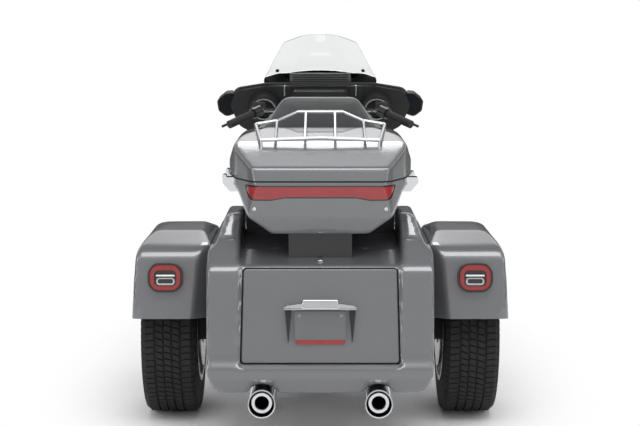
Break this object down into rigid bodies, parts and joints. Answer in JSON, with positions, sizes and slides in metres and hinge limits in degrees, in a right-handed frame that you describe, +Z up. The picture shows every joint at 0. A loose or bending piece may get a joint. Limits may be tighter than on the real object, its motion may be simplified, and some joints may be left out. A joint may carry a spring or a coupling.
{
  "type": "three-wheeled touring motorcycle",
  "caption": "Three-wheeled touring motorcycle with fork-mounted fairing, V-twin engine, two-up seat, top case with rack and a hinged rear trunk between the back wheels.",
  "frame": {"origin": "centre of the bounding box on the ground plane", "axes": "+Y forward, +X to the rider's right, +Z up"},
  "size_m": [1.3738, 2.6745, 1.4396],
  "materials": {
    "chrome": "polished chrome plate",
    "body_paint": "gloss mid-grey paint under clear coat",
    "black_steel": "gloss black powder coat",
    "black_plastic": "fine-grained black plastic",
    "cast_alloy": "black-finished cast alloy with machined fin edges",
    "tyre": "black tyre rubber",
    "wheel_alloy": "machined cast alloy",
    "red_lens": "clear red lens plastic",
    "upholstery": "smooth dark grey seat vinyl",
    "rubber": "matt black rubber",
    "plate_alloy": "plain pressed alloy sheet, blank",
    "shock_steel": "satin steel",
    "screen_glass": "clear polycarbonate sheet",
    "lamp_glass": "clear lamp glass over a bright reflector"
  },
  "bodies": {
    "chassis": {"frame": "black_steel", "engine_crankcase": "cast_alloy", "engine_cylinders": "cast_alloy", "rocker_covers": "chrome", "gearbox": "cast_alloy", "primary_cover": "chrome", "air_cleaner": "chrome", "exhaust": "chrome", "fuel_tank": "body_paint", "tank_console": "chrome", "trunk_body": "body_paint", "rear_fenders": "body_paint", "fender_lamps": "red_lens", "swingarm": "black_steel", "rear_shocks": "shock_steel", "rear_calipers": "cast_alloy", "topcase_base": "body_paint", "topcase_lamp": "red_lens", "topcase_carrier": "black_steel", "topcase_hardware": "chrome", "seat": "upholstery", "passenger_backrest": "upholstery", "engine_guard": "chrome", "lower_fairings": "body_paint", "side_covers": "body_paint", "footboards": "rubber"},
    "trunk_door": {"trunk_door": "body_paint", "plate_lamp_bar": "chrome", "number_plate": "plate_alloy", "plate_reflector": "red_lens"},
    "topcase_lid": {"topcase_lid": "body_paint", "topcase_rack": "chrome"},
    "steering": {"fork": "chrome", "front_axle": "chrome", "front_fender": "body_paint", "front_calipers": "cast_alloy", "outer_fairing": "body_paint", "inner_fairing": "black_plastic", "windscreen": "screen_glass", "headlamp": "lamp_glass", "passing_lamps": "black_steel", "handlebar": "chrome", "grips": "rubber", "hand_controls": "black_steel", "mirrors": "black_plastic"},
    "front_wheel": {"front_tyre": "tyre", "front_rim": "wheel_alloy"},
    "rear_wheel_left": {"rear_tyre_left": "tyre", "rear_rim_left": "wheel_alloy"},
    "rear_wheel_right": {"rear_tyre_right": "tyre", "rear_rim_right": "wheel_alloy"}
  },
  "joints": [
    {"name": "steering", "type": "hinge", "parent": "chassis", "child": "steering", "pos_m": [0, 1.116, 0], "axis": [0, -0.4384, 0.8988], "range_deg": [-34, 34]},
    {"name": "front_wheel_spin", "type": "hinge", "parent": "steering", "child": "front_wheel", "pos_m": [0, 1.016, 0.319], "axis": [-1, 0, 0], "continuous": true},
    {"name": "rear_wheel_left_spin", "type": "hinge", "parent": "chassis", "child": "rear_wheel_left", "pos_m": [-0.562, -0.654, 0.324], "axis": [-1, 0, 0], "continuous": true},
    {"name": "rear_wheel_right_spin", "type": "hinge", "parent": "chassis", "child": "rear_wheel_right", "pos_m": [0.562, -0.654, 0.324], "axis": [-1, 0, 0], "continuous": true},
    {"name": "trunk_door_hinge", "type": "hinge", "parent": "chassis", "child": "trunk_door", "pos_m": [0, -1.26357, 0.315], "axis": [1, 0, 0], "range_deg": [0, 90]},
    {"name": "topcase_lid_hinge", "type": "hinge", "parent": "chassis", "child": "topcase_lid", "pos_m": [-0.343, -0.95, 0.949], "axis": [0, -1, 0], "range_deg": [0, 75]}
  ]
}
